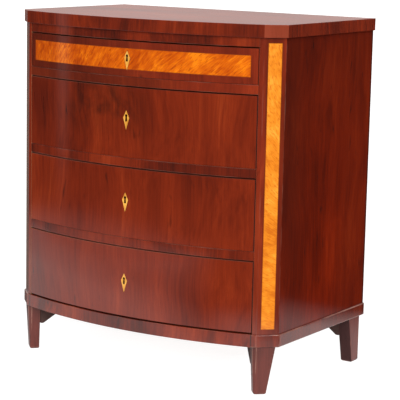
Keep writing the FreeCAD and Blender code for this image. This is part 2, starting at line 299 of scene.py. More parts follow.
def round_sheet(middle, radius, height, right, back):
    """A disc, cut off straight on the chest's right and at its back."""
    bm = bmesh.new()
    bmesh.ops.create_circle(bm, cap_ends=True, segments=disc_corners, radius=radius)
    bmesh.ops.translate(bm, vec=(*middle, height), verts=bm.verts)
    for cut_place, cut_way in (((right, 0, 0), (1, 0, 0)), ((0, back, 0), (0, 1, 0))):
        whole = bm.verts[:] + bm.edges[:] + bm.faces[:]
        bmesh.ops.bisect_plane(bm, geom=whole, dist=on_the_cut, plane_co=cut_place, plane_no=cut_way,
                               clear_outer=True)
    return bm


def white_ground(name, bm, soft_edge, strength=1.0):
    """Ground whose edge fades out over the width of soft_edge; a low strength mirrors dimly."""
    bmesh.ops.inset_region(bm, faces=bm.faces[:], thickness=soft_edge, use_even_offset=True,
                           use_boundary=True)
    shown = bm.verts.layers.float.new("shown")
    for vert in bm.verts:
        vert[shown] = 0.0 if vert.is_boundary else strength
    mesh = bpy.data.meshes.new(name)
    bm.to_mesh(mesh)
    bm.free()
    mesh.materials.append(paper_white)
    sheet = bpy.data.objects.new(name, mesh)
    scene.collection.objects.link(sheet)
    return sheet


front_disc = round_sheet((-0.60, 0.25), radius=1.46, height=0.0, right=0.45, back=0.10)
wide_disc = round_sheet((-0.72, -0.25), radius=1.80, height=-0.0003, right=0.10, back=-0.20)
beside_chest = straight_sheet((0.10, -1.05), (1.00, 0.72), height=-0.0006)
all_round = straight_sheet((-40.0, -40.0), (40.0, 40.0), height=-0.001)
white_ground("front_paper", front_disc, soft_edge=0.36, strength=0.95)
white_ground("wide_paper", wide_disc, soft_edge=0.40, strength=0.37)
white_ground("side_paper", beside_chest, soft_edge=0.26)
floor = white_ground("floor", all_round, soft_edge=1.0)
floor.visible_glossy = False
print("ground sheets ready, floor", [round(v) for v in floor.dimensions], "m")

# %% [markdown]
# The light is soft and comes from in front, a little to the right of the chest and from above. A lamp of
# the sun kind lights the whole ground evenly, so the paper stays white to its edge. A wide angle makes its
# shadows soft.

# %% Light
to_key_light = Vector((0.54, -0.66, 0.62))
key_strength = 3.8
key_width = math.radians(40)

key_lamp = bpy.data.lights.new("key_light", "SUN")
key_lamp.energy = key_strength
key_lamp.angle = key_width
key = bpy.data.objects.new("key_light", key_lamp)
key.rotation_mode = "QUATERNION"
key.rotation_quaternion = to_key_light.to_track_quat("Z", "Y")
scene.collection.objects.link(key)
print("key light strength:", key_lamp.energy)

# %% [markdown]
# The world adds a bright band round the horizon, which the polished top mirrors. Far to the left it has a
# pale doorway, which the bow of the front mirrors as a soft upright streak, and behind that a grey wall,
# which the left corner mirrors. A camera ray sees plain white instead, like the ground.

# %% Room that the polish mirrors
room_heights = (0.00, 0.49, 0.505, 0.62, 0.75, 1.00)
room_greys = ((0.012, 0.010, 0.010), (0.020, 0.016, 0.016), (0.86, 0.80, 0.78), (0.86, 0.83, 0.81),
              (0.50, 0.50, 0.50), (0.45, 0.45, 0.45))
to_wall = (-0.866, 0.500, 0.0)
wall_grey = (0.17, 0.145, 0.14)
across_doorway = (-0.497, 0.868, 0.0)
doorway_white = (1.0, 0.95, 0.93)
doorway_share = 0.45

studio = bpy.data.worlds.new("studio")
studio.use_nodes = True
scene.world = studio
tree = studio.node_tree
direction = add(tree, "TexCoord").outputs["Generated"]
east, _, up = parts_of(tree, direction)
room = ramp(tree, span(tree, up, -1.0, 1.0), room_heights, room_greys)
wall = fade(tree, towards(tree, direction, to_wall), none_at=0.88, full_at=0.96)
below_horizon = fade(tree, up, none_at=0.02, full_at=-0.02)
room = mix(tree, product(tree, wall, below_horizon), room, wall_grey)
beside_doorway = calc(tree, "ABSOLUTE", towards(tree, direction, across_doorway))
doorway = product(tree, fade(tree, beside_doorway, none_at=0.06, full_at=0.01),
                  fade(tree, east, none_at=0.0, full_at=-0.5),
                  fade(tree, up, none_at=-0.18, full_at=-0.08), doorway_share)
room = mix(tree, doorway, room, doorway_white)
seen_directly = add(tree, "LightPath").outputs["Is Camera Ray"]
fill(tree, tree.nodes["Background"].inputs["Color"], mix(tree, seen_directly, room, (1.0, 1.0, 1.0)))
scene.view_settings.view_transform = "Standard"
print("room nodes:", len(tree.nodes))

# %% [markdown]
# ## Mahogany
# The chest is veneered with mahogany whose grain runs upright, so colour changes slowly up a board and
# quickly across it. Noise stretched along the grain gives that at four sizes: clouds as wide as a hand,
# bands, lines and fibres. Dark patches, pores and flecks lie over them: noise stays near a half, so only a
# few places pass a limit above it. Real grain also waves, so a slow noise first pushes each point to one
# side. A number on every board shifts its pattern, because two boards never match.

# %% Mahogany
worn_mahogany = (0.30, 0.15, 0.11)
near_black = (0.010, 0.004, 0.003)
shift_per_board = (3.7, 5.3, 2.9)
mahogany_positions = (0.36, 0.46, 0.54, 0.64)


def board_place(tree):
    """Where a point of the surface is, shifted by the number of its board."""
    return moved(tree, object_place(tree), scaled(tree, shift_per_board, mesh_mark(tree, "plank")))


def waved(tree, place, per_metre, reach):
    """Push each point to the side by a slow noise, up to about the reach in metres."""
    drift = add(tree, "TexNoise", {"Vector": place, "Scale": per_metre, "Detail": 1.0}).outputs["Color"]
    centred = moved(tree, drift, even(-0.5))
    return moved(tree, place, scaled(tree, centred, 2.0 * reach))


def polish(coat, coat_roughness):
    """Socket values for the clear, hard film of a French polish."""
    return {"Coat Weight": coat, "Coat Roughness": coat_roughness, "Coat IOR": 1.5, "Specular IOR Level": 0.0}


def mahogany(name, along, tones, patches=0.25, wear=0.45, coat=1.0, coat_roughness=0.10, shade=None):
    """Polished mahogany; tones go from the dark bands to the bright streaks, and shade gives dark places."""
    material, tree, shader = new_finish(name)
    place = board_place(tree)
    grain = waved(tree, place, per_metre=4.0, reach=0.05)
    clouds = streaks(tree, grain, along_grain(along, across=5.0, lengthwise=2.2), detail=2.0)
    bands = streaks(tree, grain, along_grain(along, across=24.0, lengthwise=1.5), detail=3.0)
    lines = streaks(tree, grain, along_grain(along, across=120.0, lengthwise=2.5), roughness=0.6)
    fibres = streaks(tree, place, along_grain(along, across=420.0, lengthwise=9.0), detail=3.0)
    pores = streaks(tree, place, along_grain(along, across=1100.0, lengthwise=60.0), detail=1.0)
    dark_patches = streaks(tree, grain, along_grain(along, across=13.0, lengthwise=3.0))
    flecks = streaks(tree, grain, along_grain(along, across=48.0, lengthwise=13.0), detail=2.0)

    tone = weighed(tree, (clouds, 0.42), (bands, 0.22), (lines, 0.20), (fibres, 0.16))
    colour = ramp(tree, tone, mahogany_positions, tones)
    colour = mix(tree, fade(tree, dark_patches, none_at=0.54, full_at=0.70, share=patches), colour, tones[0])
    colour = mix(tree, fade(tree, pores, none_at=0.62, full_at=0.72, share=0.40), colour, tones[0])
    colour = mix(tree, fade(tree, flecks, none_at=0.67, full_at=0.77, share=0.6), colour, near_black)
    if shade:
        colour = mix(tree, shade(tree, object_place(tree)), colour, near_black)

    rubbed = fade(tree, streaks(tree, place, even(14.0), detail=5.0), none_at=0.44, full_at=0.62)
    worn = product(tree, mesh_mark(tree, "wear"), rubbed, wear)
    relief = calc(tree, "MULTIPLY_ADD", pores, -0.5, fibres)
    fill_all(tree, shader, {
        "Base Color": mix(tree, worn, colour, worn_mahogany),
        "Roughness": calc(tree, "MULTIPLY_ADD", fibres, 0.3, 0.25),
        "Normal": bumps(tree, relief, strength=0.12, depth=0.0004),
        **polish(coat, coat_roughness)})
    return material


print("mahogany tones stand at", mahogany_positions)

# %% [markdown]
# No old board is evenly dark. A shade is a function that tells how much near black to mix in at each place
# on the chest; some follow the wood, and some are painted shade. The sides darken towards their edges and,
# as painted shade, towards the top, and glue lines show where the front moulding meets its corner blocks.

# %% Shades of the sides and the moulding
side_front_y, side_back_y = (corner.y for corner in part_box("side_right"))
moulding_joint_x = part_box("base_front")[1].x


def side_shade(tree, place):
    """The sides darken towards their back and front edges, and towards the top, the last a painted shade."""
    _, y, z = parts_of(tree, place)
    back_edge = fade(tree, y, none_at=side_back_y - 0.022, full_at=side_back_y, share=0.8)
    near_back = fade(tree, y, none_at=side_back_y - 0.19, full_at=side_back_y - 0.11, share=0.33)
    near_front = fade(tree, y, none_at=side_front_y + 0.15, full_at=side_front_y + 0.02, share=0.58)
    less_near_floor = span(tree, z, 0.12, 0.45, to_low=0.2)
    painted_top_shade = fade(tree, z, none_at=0.2, full_at=cad_high.z, share=0.50)
    return largest(tree, back_edge, near_back, product(tree, near_front, less_near_floor), painted_top_shade)


def moulding_joints(tree, place):
    """Dark glue lines where the front moulding meets its corner blocks."""
    out = calc(tree, "ABSOLUTE", parts_of(tree, place)["X"])
    away = calc(tree, "ABSOLUTE", calc(tree, "SUBTRACT", out, moulding_joint_x))
    return fade(tree, away, none_at=0.0022, full_at=0.0004, share=0.8)


print("sides from", round(side_front_y, 3), "to", round(side_back_y, 3))

# %% [markdown]
# The second drawer shows a feather, the dark and mottled figure of wood cut where a branch left the trunk.
# It fans out to the right, which a shear does that grows along the drawer. The rail and the banding above
# it get painted shade on their left, so they brighten to the right. The bare upper edges of the fronts show
# in the gaps above the drawers, and get painted light on their left and painted shade on their right.

# %% Shades of the drawers
drawer_2_low, drawer_2_high = (corner.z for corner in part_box("drawer_2_front"))
rail_1_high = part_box("rail_1")[1].z
feather_x = -0.08
feather_shares = (0.25, 0.65)


def feather(tree, place):
    """A dark, mottled fan at the top of the second drawer and on the rail above it."""
    x, y, z = parts_of(tree, place)
    from_middle = calc(tree, "ABSOLUTE", calc(tree, "SUBTRACT", x, feather_x))
    middle = fade(tree, from_middle, none_at=0.15, full_at=0.06)
    starts, full_from = ((1.0 - share) * drawer_2_low + share * drawer_2_high for share in feather_shares)
    upper = fade(tree, z, none_at=starts, full_at=full_from)
    below_panel = fade(tree, z, none_at=rail_1_high + 0.004, full_at=rail_1_high)
    slant = fade(tree, x, none_at=-0.10, full_at=0.15, share=0.9)
    lean = product(tree, calc(tree, "SUBTRACT", z, drawer_2_high), slant)
    fanned = vector_of(tree, calc(tree, "ADD", x, lean), y, z)
    mottles = streaks(tree, waved(tree, fanned, per_metre=14.0, reach=0.02), (34.0, 34.0, 14.0), detail=5.0)
    mottled = span(tree, mottles, 0.40, 0.62, to_low=0.10, to_high=0.62)
    return product(tree, middle, upper, mottled, below_panel)


def band_painted_shade(tree, place):
    """Painted shade on the left of the top drawer's banding, so that it brightens to the right."""
    return fade(tree, parts_of(tree, place)["X"], none_at=0.16, full_at=-0.12, share=0.52)


def rail_feather_and_painted_shade(tree, place):
    """The feather, with painted shade on the rail's left, so that the rail is bright on its right."""
    painted_left_shade = fade(tree, parts_of(tree, place)["X"], none_at=0.16, full_at=0.07, share=0.48)
    return largest(tree, feather(tree, place), painted_left_shade)


def gap_painted_shade(tree, place, lit_until, shaded_from):
    """Painted shade on the right of a front's upper edge, which shows in the gap above the drawer."""
    return fade(tree, parts_of(tree, place)["X"], none_at=lit_until, full_at=shaded_from, share=0.5)


print("second drawer from", round(drawer_2_low, 3), "to", round(drawer_2_high, 3))

# %% [markdown]
# Dark polish gathers in the joints round the corner strips. A strip lies on the cant of the corner, where
# a step is longer than its part along x, so distances from the strip's middle are stretched.

# %% Shade of the posts
strip_out = sorted(abs(v.co.x) for v in solids["corner_strips"].data.vertices)
strip_middle_x = (strip_out[0] + strip_out[-1]) / 2
strip_half_width = 0.0158
along_cant_per_x = 1.37


def from_strip_middle(tree, x):
    """Distance from the middle of the corner strip, measured along the cant."""
    out = calc(tree, "SUBTRACT", calc(tree, "ABSOLUTE", x), strip_middle_x)
    return product(tree, out, along_cant_per_x)


def strip_edges(tree, place):
    """Dark polish beside the corner strips; besides, the posts are darker on the strips' outer side and low
    down.
    """
    x, _, z = parts_of(tree, place)
    out = from_strip_middle(tree, x)
    away = calc(tree, "ABSOLUTE", out)
    beside = fade(tree, away, none_at=strip_half_width + 0.007, full_at=strip_half_width, share=0.35)
    outer = fade(tree, out, none_at=strip_half_width, full_at=strip_half_width + 0.002, share=0.38)
    less_near_top = fade(tree, z, none_at=cad_high.z - 0.06, full_at=cad_high.z - 0.22)
    low = fade(tree, z, none_at=0.65, full_at=0.15, share=0.30)
    return largest(tree, beside, product(tree, outer, less_near_top), low)


print("strip middle at", round(strip_middle_x, 3))

# %% [markdown]
# Boards from different planks differ in tone, and boards that get more light are given brighter rows of
# tones, a painted light. Each row of tones goes from the dark bands to the bright streaks. Feet and bare wood
# have less polish, or none.

# %% Finishes of mahogany
front_tones = (0.058, 0.0068, 0.003), (0.112, 0.0115, 0.0035), (0.15, 0.016, 0.0042), (0.215, 0.028, 0.0065)
rail_tones = (0.036, 0.0065, 0.004), (0.09, 0.0105, 0.0042), (0.145, 0.016, 0.0048), (0.215, 0.028, 0.0075)
side_tones = (0.06, 0.0045, 0.0013), (0.106, 0.0074, 0.0015), (0.144, 0.0104, 0.0017), (0.204, 0.019, 0.003)
dark_tones = (0.03, 0.006, 0.0045), (0.06, 0.0085, 0.005), (0.088, 0.011, 0.005), (0.125, 0.018, 0.007)
post_tones = (0.08, 0.0095, 0.0042), (0.134, 0.0148, 0.0052), (0.18, 0.0203, 0.0062), (0.245, 0.0315, 0.0082)
cant_tones = (0.140, 0.023, 0.010), (0.175, 0.031, 0.014), (0.205, 0.038, 0.0175), (0.250, 0.049, 0.023)
top_tones = (0.120, 0.018, 0.008), (0.190, 0.026, 0.010), (0.250, 0.036, 0.013), (0.330, 0.056, 0.020)
foot_tones = (0.060, 0.014, 0.010), (0.090, 0.019, 0.0135), (0.115, 0.024, 0.017), (0.150, 0.034, 0.023)
raw_and_shade_tones = (0.022, 0.008, 0.0075), (0.032, 0.011, 0.0105), (0.042, 0.015, 0.014), (0.055, 0.020, 0.018)
# Light tones for the upper edges of the fronts: painted light in the gaps above the drawers.
gap_light_tones = (0.22, 0.066, 0.044), (0.26, 0.082, 0.054), (0.30, 0.098, 0.064), (0.35, 0.118, 0.076)

front_mahogany = mahogany("front_mahogany", "Z", front_tones)
feathered_mahogany = mahogany("feathered_mahogany", "Z", front_tones, shade=feather)
rail_mahogany = mahogany("rail_mahogany", "Z", rail_tones, patches=0.75)
feathered_rail = mahogany("feathered_rail_mahogany", "Z", post_tones, patches=0.30, shade=rail_feather_and_painted_shade)
side_mahogany = mahogany("side_mahogany", "Z", side_tones, patches=0.7, wear=0.2, coat=0.5, shade=side_shade)
moulding_mahogany = mahogany("moulding_mahogany", "Z", rail_tones, patches=0.75, shade=moulding_joints)
side_moulding = mahogany("side_moulding_mahogany", "Z", dark_tones, patches=0.75)
band_mahogany = mahogany("band_mahogany", "Z", post_tones, patches=0.5, shade=band_painted_shade)
cant_mahogany = mahogany("cant_mahogany", "Z", cant_tones)
post_mahogany = mahogany("post_mahogany", "Z", post_tones, wear=0.1, shade=strip_edges)
top_mahogany = mahogany("top_mahogany", "X", top_tones, coat=0.60, coat_roughness=0.14)
foot_mahogany = mahogany("foot_mahogany", "Z", foot_tones, wear=0.7, coat=0.65, coat_roughness=0.25)
raw_and_shaded_mahogany = mahogany("raw_and_shaded_mahogany", "Z", raw_and_shade_tones, wear=0.3, coat=0.25, coat_roughness=0.40)
# The upper edges of the fronts, seen in the gaps: painted light on the left, painted shade to the right.
gap_light_shade_mahogany = mahogany("gap_light_shade_mahogany", "X", gap_light_tones, coat=0.0,
                           shade=functools.partial(gap_painted_shade, lit_until=-0.22, shaded_from=0.05))
low_gap_light_shade_mahogany = mahogany("low_gap_light_shade_mahogany", "X", gap_light_tones, coat=0.0,
                         shade=functools.partial(gap_painted_shade, lit_until=0.10, shaded_from=0.40))
print("mahogany finishes:", [m.name for m in bpy.data.materials if "mahogany" in m.name])

# %% [markdown]
# ## Satinwood
# The panel of the top drawer and the corner strips are satinwood, a yellow wood with a silky figure that
# lies askew. Seen at a flat angle it is painted dark brown, a painted shade that a Layer Weight node
# places by that angle.

# %% Satinwood
inlay_border = (0.20, 0.040, 0.006)
border_share = 0.5
flat_view_shade_colour = (0.070, 0.020, 0.010)
satinwood_positions = (0.38, 0.46, 0.54, 0.62)


def satinwood(name, tones, figure, glow):
    """Polished satinwood; figure gives the vector in which its strokes are upright, glow a lighter tone."""
    material, tree, shader = new_finish(name)
    place = object_place(tree)
    leaning = figure(tree, waved(tree, place, per_metre=16.0, reach=0.006))
    strokes = streaks(tree, leaning, (330.0, 40.0, 90.0), detail=2.0, roughness=0.5)
    flame = streaks(tree, leaning, (95.0, 30.0, 42.0), detail=3.0)
    hairs = streaks(tree, leaning, (620.0, 60.0, 70.0), detail=2.0)
    clouds = streaks(tree, place, even(16.0), detail=2.0)
    tone = weighed(tree, (flame, 0.32), (clouds, 0.42), (hairs, 0.26))
    colour = ramp(tree, calc(tree, "ADD", tone, glow(tree, place)), satinwood_positions, tones)
    colour = mix(tree, fade(tree, strokes, none_at=0.54, full_at=0.66, share=0.75), colour, tones[0])
    colour = mix(tree, product(tree, mesh_mark(tree, "border"), border_share), colour, inlay_border)
    # Painted shade: at a flat angle of view the colour turns dark brown.
    flat_view = add(tree, "LayerWeight", {"Blend": 0.5}).outputs["Facing"]
    flat_view_shade = fade(tree, flat_view, none_at=0.55, full_at=0.75, share=0.85)
    fill_all(tree, shader, {
        "Base Color": mix(tree, flat_view_shade, colour, flat_view_shade_colour),
        "Roughness": calc(tree, "MULTIPLY_ADD", strokes, 0.3, 0.22),
        "Normal": bumps(tree, hairs, strength=0.08, depth=0.0003),
        **polish(coat=1.0, coat_roughness=0.10)})
    return material


print("satinwood tones stand at", satinwood_positions)

# %% [markdown]
# Upright at the left of the panel, the figure leans more and more to the right. A shear that grows along
# the panel does that: each point looks up its streak a little further along, by its height.

# %% Satinwood of the panel
panel_low, panel_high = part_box("drawer_1_panel")
panel_tones = (0.25, 0.030, 0.0015), (0.38, 0.057, 0.0018), (0.49, 0.094, 0.0022), (0.63, 0.160, 0.0038)


def panel_figure(tree, place):
    """The lean grows from the panel's left end to its right end."""
    x, y, z = parts_of(tree, place)
    lean = span(tree, x, panel_low.x, panel_high.x / 2, to_low=0.15, to_high=1.1)
    shear = product(tree, calc(tree, "SUBTRACT", z, panel_low.z), lean)
    return vector_of(tree, calc(tree, "SUBTRACT", x, shear), y, z)


def panel_glow(tree, place):
    """The panel is redder at its left end and in its middle, and yellower to the right."""
    x = parts_of(tree, place)["X"]
    left_end = span(tree, x, panel_low.x, -0.20, to_low=-0.03, to_high=0.02)
    middle = fade(tree, calc(tree, "ABSOLUTE", x), none_at=0.14, full_at=0.0, share=-0.035)
    right = fade(tree, x, none_at=0.0, full_at=panel_high.x, share=0.03)
    return calc(tree, "ADD", left_end, calc(tree, "ADD", middle, right))


panel_satinwood = satinwood("panel_satinwood", panel_tones, panel_figure, panel_glow)
print("panel from", round(panel_low.x, 3), "to", round(panel_high.x, 3))

# %% [markdown]
# The strips on the two corners mirror each other, so their figure looks up the distance from the chest's
# middle instead of x. Near the top the strokes fall outwards, and lower down they turn to lie across the
# strip. Both numbers start from the strip's own centre, so that the turn bends the strokes only a little.

# %% Satinwood of the corner strips
strip_low, strip_high = (corner.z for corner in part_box("corner_strips"))
strip_tones = (0.42, 0.100, 0.0060), (0.53, 0.155, 0.0090), (0.60, 0.195, 0.0140), (0.68, 0.250, 0.0260)


def strip_figure(tree, place):
    """Strokes that fall outwards near the top and lie across the strip near the foot."""
    x, y, z = parts_of(tree, place)
    out = from_strip_middle(tree, x)
    up = calc(tree, "SUBTRACT", z, (strip_low + strip_high) / 2)
    upright = span(tree, z, strip_low, strip_high, to_low=0.25, to_high=0.9)
    lying = span(tree, z, strip_low, strip_high, to_low=0.95, to_high=0.45)
    across = calc(tree, "MULTIPLY_ADD", up, lying, product(tree, out, upright))
    along = calc(tree, "SUBTRACT", product(tree, up, upright), product(tree, out, lying))
    return vector_of(tree, across, y, along)


def strip_glow(tree, place):
    """The strips are yellower in their upper half."""
    return span(tree, parts_of(tree, place)["Z"], strip_low, strip_high, to_low=-0.03, to_high=0.02)


strip_satinwood = satinwood("strip_satinwood", strip_tones, strip_figure, strip_glow)
print("strips from", round(strip_low, 3), "to", round(strip_high, 3))

# %% [markdown]
# ## Bone, brass and iron
# The escutcheons are bone that polish has turned yellow, with faint darker threads. The lock cases are
# brass gone dull, and the bolts and nails are iron. None is ever one even colour, so each has a slow
# change of tone, a rougher patch here and there, and a fine unevenness in the bump.

# %% Bone, brass and iron
bone_tones = (0.42, 0.160, 0.010), (0.57, 0.255, 0.022), (0.70, 0.370, 0.060)
keyhole_shade_tones = (0.006, 0.002, 0.001), (0.010, 0.003, 0.002), (0.016, 0.005, 0.003)
brass_tones = (0.22, 0.13, 0.05), (0.42, 0.27, 0.10), (0.55, 0.38, 0.16)
iron_tones = (0.05, 0.035, 0.03), (0.09, 0.075, 0.07), (0.14, 0.12, 0.11)
fitting_positions = (0.38, 0.50, 0.62)


def tinted(name, tones, per_metre, roughness, metal=0.0, bump_strength=0.1, coat=0.0, specular=0.5):
    """A finish whose tone and roughness drift over the surface."""
    material, tree, shader = new_finish(name)
    place = object_place(tree)
    drift = streaks(tree, place, per_metre, detail=6.0, roughness=0.6)
    grit = streaks(tree, place, even(900.0), detail=2.0)
    tone = weighed(tree, (drift, 0.7), (grit, 0.3))
    fill_all(tree, shader, {
        "Base Color": ramp(tree, tone, fitting_positions, tones),
        "Roughness": span(tree, drift, 0.35, 0.65, *roughness),
        "Normal": bumps(tree, tone, bump_strength, depth=0.0004),
        "Metallic": metal, "Specular IOR Level": specular, "Coat Weight": coat, "Coat Roughness": 0.15})
    return material


bone = tinted("bone", bone_tones, (90.0, 90.0, 45.0), roughness=(0.30, 0.45), coat=0.4)
# The keyhole's walls and the lock face behind it are near black: painted shade for the inside of the hole.
keyhole_shade = tinted("keyhole_shade", keyhole_shade_tones, even(90.0), roughness=(0.7, 0.9), specular=0.0)
brass = tinted("brass", brass_tones, even(40.0), roughness=(0.30, 0.55), metal=1.0)
iron = tinted("iron", iron_tones, even(70.0), roughness=(0.45, 0.75), metal=1.0, bump_strength=0.3)
print("fittings:", bone.name, keyhole_shade.name, brass.name, iron.name)

# %% [markdown]
# ## Pine
# Linings, runners and back boards are plain pine, darkened by age and never polished. Pine shows bands of
# summer wood, so noise that is long along the board and bent a little gives its growth rings. Each piece
# takes its own offset, because boards in one drawer come from different planks.

# %% Pine
lining_tones = (0.285, 0.116, 0.040), (0.44, 0.210, 0.080), (0.58, 0.318, 0.135)
rough_tones = (0.128, 0.048, 0.019), (0.218, 0.091, 0.037), (0.315, 0.148, 0.062)
block_tones = (0.022, 0.011, 0.009), (0.040, 0.019, 0.016), (0.062, 0.030, 0.024)
pine_positions = (0.36, 0.48, 0.62)
planed, sawn = (0.55, 0.75), (0.7, 0.9)
plank_turn, plank_tint = 40.0, 0.025
worn_pine_share = 0.3


def pine(name, along, tones, roughness=planed):
    """Unpolished pine with growth rings, fibres and a few grey patches."""
    material, tree, shader = new_finish(name)
    place = board_place(tree)
    grain = waved(tree, place, per_metre=3.0, reach=0.03)
    slow = streaks(tree, grain, along_grain(along, across=11.0, lengthwise=0.8), detail=2.0)
    rings = streaks(tree, grain, along_grain(along, across=85.0, lengthwise=1.2), detail=3.0, roughness=0.6)
    fibres = streaks(tree, place, along_grain(along, across=420.0, lengthwise=8.0), detail=3.0)
    dirt = streaks(tree, place, even(5.0), detail=6.0, roughness=0.65)
    tone = weighed(tree, (rings, 0.40), (fibres, 0.30), (slow, 0.30))
    by_plank = calc(tree, "SINE", product(tree, mesh_mark(tree, "plank"), plank_turn))
    tone = calc(tree, "ADD", tone, product(tree, by_plank, plank_tint))
    colour = ramp(tree, tone, pine_positions, tones)
    colour = mix(tree, fade(tree, dirt, none_at=0.50, full_at=0.75, share=0.45), colour, tones[0])
    worn = product(tree, mesh_mark(tree, "wear"), worn_pine_share)
    fill_all(tree, shader, {
        "Base Color": mix(tree, worn, colour, tones[2]),
        "Roughness": span(tree, fibres, 0.3, 0.7, *roughness),
        "Normal": bumps(tree, tone, strength=0.25, depth=0.0006),
        "Specular IOR Level": 0.3})
    return material


lining_lengthwise = pine("lining_pine_y", "Y", lining_tones)
lining_crosswise = pine("lining_pine_x", "X", lining_tones)
frame_lengthwise = pine("frame_pine_y", "Y", rough_tones)
frame_crosswise = pine("frame_pine_x", "X", rough_tones)
back_pine = pine("back_pine", "X", rough_tones, sawn)
block_pine = pine("block_pine", "X", block_tones, sawn)
print("pine finishes:", [m.name for m in bpy.data.materials if "pine" in m.name])

# %% [markdown]
# ## Rounding the edges
# No edge of a real board is perfectly sharp, and on an old chest the polish wears thin there first. A
# copy of each solid gets its edges rounded. A solid comes as loose triangles, so its copy is joined up
# first, and its flat faces are made whole. Marks on the faces tell which board it is, what is worn or
# rounded, and where the border of an inlay lies.

# %% Copies of the solids
merge_distance = 0.00001
flat_angle = math.radians(0.4)
plank_step = 0.37
plank_of = {node: number / len(solids) for number, node in enumerate(sorted(solids))}


def first_index(board):
    """The lowest number among the faces of a board."""
    return min(face.index for face in board)


def loose_boards(bm):
    """Lists of faces, one for each board of a mesh that holds several."""
    boards = []
    waiting = set(bm.faces)
    while waiting:
        board = [waiting.pop()]
        for face in board:
            joined = {near for edge in face.edges for near in edge.link_faces} & waiting
            waiting -= joined
            board.extend(joined)
        boards.append(board)
    return sorted(boards, key=first_index)


def merged_copy(node):
    """A copy of a solid whose loose triangles are joined, and whose flat faces are whole again."""
    bm = bmesh.new()
    bm.from_mesh(solids[node].data)
    bmesh.ops.remove_doubles(bm, verts=bm.verts, dist=merge_distance)
    bmesh.ops.dissolve_limit(bm, angle_limit=flat_angle, verts=bm.verts, edges=bm.edges)
    for mark in ("wear", "border", "plank", "rounded"):
        bm.faces.layers.float.new(mark)
    bm.faces.index_update()
    plank = bm.faces.layers.float["plank"]
    for number, board in enumerate(loose_boards(bm)):
        for face in board:
            face[plank] = plank_of[node] + plank_step * number
    return bm


print("solids to copy:", len(plank_of))

# %% [markdown]
# Only free edges are rounded: where another board meets the edge, a rounded one would open a groove in a
# tight joint. A search tree of each solid finds out how near the other boards of the same body are.

# %% Free edges
touch_distance = 0.00005
sharp_angle = math.radians(20)
tested_shares = (0.2, 0.5, 0.8)
bodies = frame["record"]["behaviour"]["bodies"]
body_of = {node: body for body, nodes in bodies.items() for node in nodes}
surface = {
    name: BVHTree.FromPolygons([v.co for v in solid.data.vertices], [p.vertices for p in solid.data.polygons])
    for name, solid in solids.items()
}


def is_free(edge, node):
    """True where no other board of the same body meets the edge."""
    start, end = (vert.co for vert in edge.verts)
    others = [surface[n] for n in bodies[body_of[node]] if n != node]
    points = [start.lerp(end, share) for share in tested_shares]
    return not any(tree.find_nearest(p, touch_distance)[0] for tree in others for p in points)


def sharp_edges(bm, node):
    """The free edges of a board that stand out."""
    return [e for e in bm.edges
            if e.is_manifold and e.calc_face_angle_signed() > sharp_angle and is_free(e, node)]


def round_edges(bm, edges, width, segments=2, wear=1.0):
    """Bevel the edges and mark the new faces as rounded, and how worn they are."""
    made = bmesh.ops.bevel(bm, geom=edges, offset=width, affect="EDGES", segments=segments, profile=0.5,
                           material=-1, clamp_overlap=True)
    worn = bm.faces.layers.float["wear"]
    rounded = bm.faces.layers.float["rounded"]
    for face in made["faces"]:
        face[worn] = wear
        face[rounded] = 1.0


print("bodies:", list(bodies))

# %% [markdown]
# The finished mesh becomes a piece that moves with its solid. Roundings shade smoothly into the flat faces
# beside them, and weighted normals keep those flat.

# %% Pieces
flat_crease = math.radians(25)
rounded_crease = math.radians(50)
spared_divisor = 3


def shades_smoothly(edge, rounded):
    """True for an edge within a rounding, or for one too blunt to see as an edge."""
    crease = rounded_crease if all(face[rounded] for face in edge.link_faces) else flat_crease
    return edge.is_manifold and abs(edge.calc_face_angle_signed()) < crease


def place_piece(bm, name, node, finishes, finish_of=None):
    """Make the finished mesh an object that rides with its solid and stands for it."""
    rounded = bm.faces.layers.float["rounded"]
    for face in bm.faces:
        face.smooth = True
        face.material_index = finish_of(face) if finish_of else 0
    for edge in bm.edges:
        edge.smooth = shades_smoothly(edge, rounded)
    mesh = bpy.data.meshes.new(name)
    bm.to_mesh(mesh)
    bm.free()
    for finish in finishes:
        mesh.materials.append(finish)
    piece = bpy.data.objects.new(name, mesh)
    scene.collection.objects.link(piece)
    shading = piece.modifiers.new("flat_faces_stay_flat", "WEIGHTED_NORMAL")
    shading.keep_sharp = True
    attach(piece, body_of[node])
    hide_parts(node)
    return piece


def eased(node, width, finishes, finish_of=None, rubbed=None, segments=2):
    """A board with rounded free edges; with rubbed, only the edges it picks are worn and fully rounded."""
    bm = merged_copy(node)
    edges = sharp_edges(bm, node)
    if rubbed:
        spared = [e for e in edges if not rubbed(e)]
        round_edges(bm, spared, width / spared_divisor, segments, wear=0.0)
        edges = [e for e in sharp_edges(bm, node) if rubbed(e)]
    round_edges(bm, edges, width, segments)
    return place_piece(bm, "eased_" + node, node, finishes, finish_of)


def refinish(node, finish):
    """Give a solid that needs no rounding its finish."""
    materials = solids[node].data.materials
    materials.clear()
    materials.append(finish)


# %% [markdown]
# ## Which face gets which finish
# Veneer is costly, so it covers only what shows. A face that points away from the chest's middle is
# veneered, and the back of the same board is plain pine. The direction of a face tells which it is: each
# part of it is 1 for a face that looks straight along that axis, and 0 for one that lies along it.

# %% Which face gets which finish
partly, canted, half, mostly, nearly, straight = 0.3, 0.4, 0.5, 0.7, 0.9, 0.97
outward = 0.05
in_side = 0.3
front_end_x = 0.2
keyhole_wall_x = 0.004
keyhole_wall_area = 0.0004


def outside_first(face):
    """0 for a face that points away from the chest's middle, 1 for the rest."""
    centre = face.calc_center_median()
    return 0 if face.normal.dot(Vector((centre.x, centre.y, 0.0))) > outward else 1


